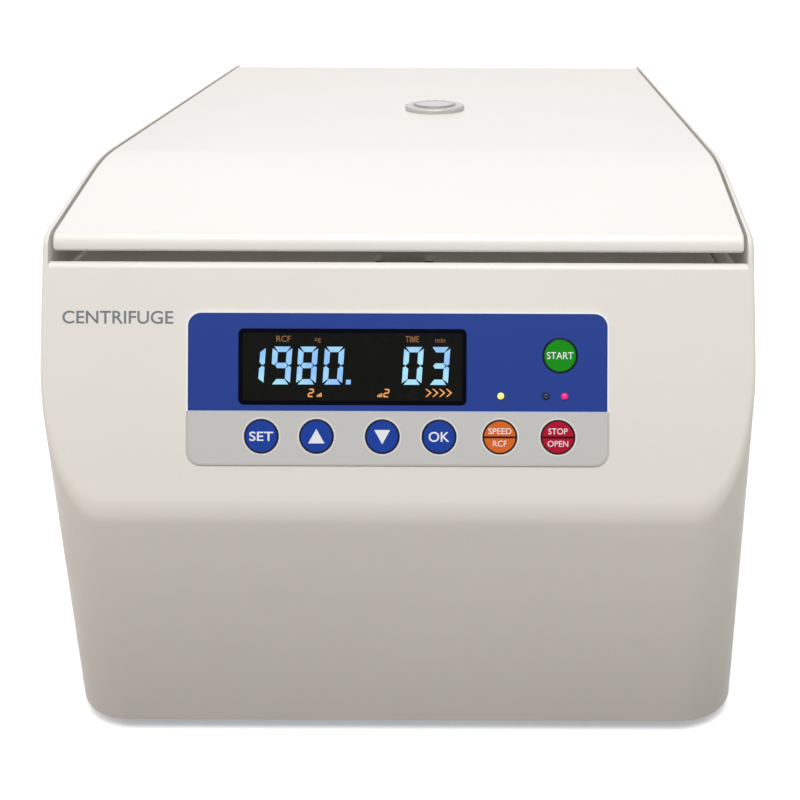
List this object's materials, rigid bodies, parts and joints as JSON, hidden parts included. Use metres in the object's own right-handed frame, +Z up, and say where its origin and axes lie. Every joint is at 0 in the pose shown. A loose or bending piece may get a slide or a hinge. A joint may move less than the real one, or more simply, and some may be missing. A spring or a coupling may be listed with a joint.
{
  "type": "laboratory centrifuge",
  "caption": "Benchtop laboratory centrifuge with a hinged lid, a round sight glass, an angle rotor in a steel chamber and a sloping key panel with a digital display.",
  "frame": {"origin": "centre of the footprint's box, on the plane that the rubber feet stand on", "axes": "+Z up, -Y towards the operator, +X to the operator's right"},
  "size_m": [0.348, 0.52, 0.2729],
  "materials": {
    "case_plastic": "satin off-white moulded ABS",
    "lid_plastic": "satin off-white moulded ABS",
    "steel_plate": "grey powder-coated sheet steel",
    "foot_rubber": "black rubber",
    "seal_rubber": "black rubber",
    "screw_steel": "zinc-plated screws",
    "zinc_steel": "zinc-plated steel",
    "stainless": "brushed stainless steel",
    "armour_steel": "dark painted steel",
    "motor_aluminium": "cast aluminium",
    "motor_core": "laminated iron with windings",
    "bearing_steel": "ground steel",
    "black_plastic": "black moulded plastic",
    "panel_film": "printed polyester film",
    "smoked_window": "smoked acrylic",
    "circuit_board": "glass-epoxy circuit board",
    "led_epoxy": "coloured epoxy lamps",
    "brass_fixings": "brass standoffs and screws",
    "clear_acrylic": "clear acrylic",
    "rotor_aluminium": "anodised aluminium",
    "rotor_nut": "black moulded knob",
    "sleeve_plastic": "blue nylon sleeves",
    "tube_plastic": "polypropylene tubes",
    "cap_plastic": "polyethylene caps",
    "rocker_plastic": "black rocker",
    "key_blue": "blue key",
    "key_orange": "orange key",
    "key_red": "red key",
    "key_green": "green key"
  },
  "bodies": {
    "case": {"body_shell": "case_plastic", "base_plate": "steel_plate", "rubber_feet": "foot_rubber", "foot_screws": "screw_steel", "case_screws": "screw_steel", "chamber_bowl": "stainless", "chamber_seal": "seal_rubber", "armour_ring": "armour_steel", "shaft_boot": "seal_rubber", "motor_plate": "armour_steel", "rubber_mounts": "foot_rubber", "motor_housing": "motor_aluminium", "motor_end_caps": "motor_aluminium", "motor_stator": "motor_core", "motor_bearings": "bearing_steel", "hinge_brackets": "zinc_steel", "hinge_screws": "screw_steel", "lock_bracket": "zinc_steel", "lock_pivot_pin": "bearing_steel", "lock_solenoid": "motor_core", "lock_switch": "black_plastic", "membrane_panel": "panel_film", "display_window": "smoked_window", "display_module": "black_plastic", "control_board": "circuit_board", "indicator_leds": "led_epoxy", "board_standoffs": "brass_fixings", "drive_board": "circuit_board", "transformer": "motor_core", "rear_panel": "steel_plate", "power_inlet": "black_plastic", "power_switch_frame": "black_plastic", "fan_frame": "black_plastic"},
    "lid": {"lid_cover": "lid_plastic", "lid_inner_plate": "stainless", "lid_screws": "screw_steel", "lid_striker": "zinc_steel", "window_lens": "clear_acrylic", "window_sleeve": "black_plastic", "window_pane": "clear_acrylic", "hinge_leaves": "zinc_steel", "hinge_pins": "bearing_steel"},
    "rotor": {"motor_shaft": "bearing_steel", "motor_armature": "motor_core", "rotor_body": "rotor_aluminium", "rotor_nut": "rotor_nut", "tube_sleeves": "sleeve_plastic", "sample_tubes": "tube_plastic", "tube_caps": "cap_plastic"},
    "lock_hook": {"lock_hook": "zinc_steel"},
    "solenoid_plunger": {"solenoid_plunger": "bearing_steel"},
    "fan_impeller": {"fan_impeller": "black_plastic"},
    "power_rocker": {"power_rocker": "rocker_plastic"},
    "button_set": {"button_set": "key_blue"},
    "button_up": {"button_up": "key_blue"},
    "button_down": {"button_down": "key_blue"},
    "button_ok": {"button_ok": "key_blue"},
    "button_speed_rcf": {"button_speed_rcf": "key_orange"},
    "button_stop_open": {"button_stop_open": "key_red"},
    "button_start": {"button_start": "key_green"}
  },
  "joints": [
    {"name": "lid_hinge", "type": "hinge", "parent": "case", "child": "lid", "pos_m": [0, 0.238, 0.254], "axis": [-1, 0, 0], "range_deg": [0, 75]},
    {"name": "rotor_spin", "type": "hinge", "parent": "case", "child": "rotor", "pos_m": [0, 0.036, 0.12], "axis": [0, 0, 1], "continuous": true},
    {"name": "fan_spin", "type": "hinge", "parent": "case", "child": "fan_impeller", "pos_m": [0.062, 0.24, 0.072], "axis": [0, 1, 0], "continuous": true},
    {"name": "lock_hook_pivot", "type": "hinge", "parent": "case", "child": "lock_hook", "pos_m": [0, -0.16, 0.182], "axis": [1, 0, 0], "range_deg": [0, 18], "stiffness_Nm_per_rad": 0.5},
    {"name": "solenoid_stroke", "type": "slide", "parent": "case", "child": "solenoid_plunger", "axis": [0, 1, 0], "range_m": [0, 0.0065]},
    {"name": "power_rocker_tilt", "type": "hinge", "parent": "case", "child": "power_rocker", "pos_m": [-0.072, 0.25, 0.095], "axis": [-1, 0, 0], "range_deg": [0, 14]},
    {"name": "button_set_press", "type": "slide", "parent": "case", "child": "button_set", "axis": [0, 0.9135, -0.4067], "range_m": [0, 0.0005], "stiffness_N_per_m": 2500},
    {"name": "button_up_press", "type": "slide", "parent": "case", "child": "button_up", "axis": [0, 0.9135, -0.4067], "range_m": [0, 0.0005], "stiffness_N_per_m": 2500},
    {"name": "button_down_press", "type": "slide", "parent": "case", "child": "button_down", "axis": [0, 0.9135, -0.4067], "range_m": [0, 0.0005], "stiffness_N_per_m": 2500},
    {"name": "button_ok_press", "type": "slide", "parent": "case", "child": "button_ok", "axis": [0, 0.9135, -0.4067], "range_m": [0, 0.0005], "stiffness_N_per_m": 2500},
    {"name": "button_speed_rcf_press", "type": "slide", "parent": "case", "child": "button_speed_rcf", "axis": [0, 0.9135, -0.4067], "range_m": [0, 0.0005], "stiffness_N_per_m": 2500},
    {"name": "button_stop_open_press", "type": "slide", "parent": "case", "child": "button_stop_open", "axis": [0, 0.9135, -0.4067], "range_m": [0, 0.0005], "stiffness_N_per_m": 2500},
    {"name": "button_start_press", "type": "slide", "parent": "case", "child": "button_start", "axis": [0, 0.9135, -0.4067], "range_m": [0, 0.0005], "stiffness_N_per_m": 2500}
  ],
  "couplings": [
    {"joint": "solenoid_stroke", "follows": "lock_hook_pivot", "m_per_rad": 0.0205}
  ]
}
